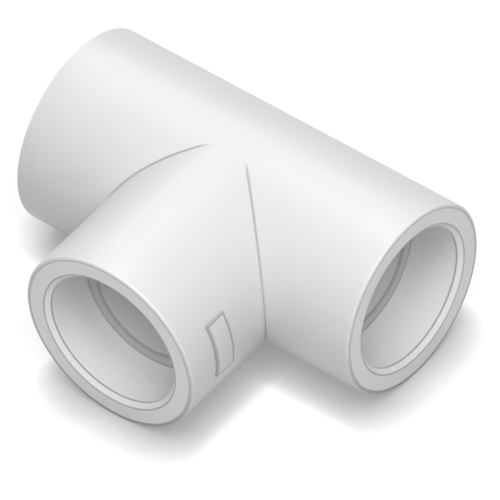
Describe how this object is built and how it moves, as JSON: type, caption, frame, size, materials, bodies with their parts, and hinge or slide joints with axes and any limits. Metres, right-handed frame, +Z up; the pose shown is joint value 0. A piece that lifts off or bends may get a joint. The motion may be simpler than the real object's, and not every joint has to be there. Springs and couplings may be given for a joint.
{
  "type": "tee fitting",
  "caption": "Plain equal tee for solvent-welded plastic pipe: straight run with a square branch of equal diameter, and a socket with lead-in chamfer and pipe stop at every mouth.",
  "frame": {"origin": "on the floor under the middle of the bounding box, with the tee lying on its side", "axes": "+X along the run, -Y out of the branch's mouth, +Z up; the axes of the run and the branch cross at y 9.5 mm, z 17 mm"},
  "size_m": [0.068, 0.053, 0.034],
  "materials": {
    "outer_wall": "satin moulded white",
    "inner_wall": "satin moulded white, clean",
    "pad": "satin moulded white, bare"
  },
  "bodies": {
    "root": {"run_barrel": "outer_wall", "branch_barrel": "outer_wall", "run_sleeve": "inner_wall", "branch_sleeve": "inner_wall", "marking_pad": "pad"}
  },
  "joints": []
}
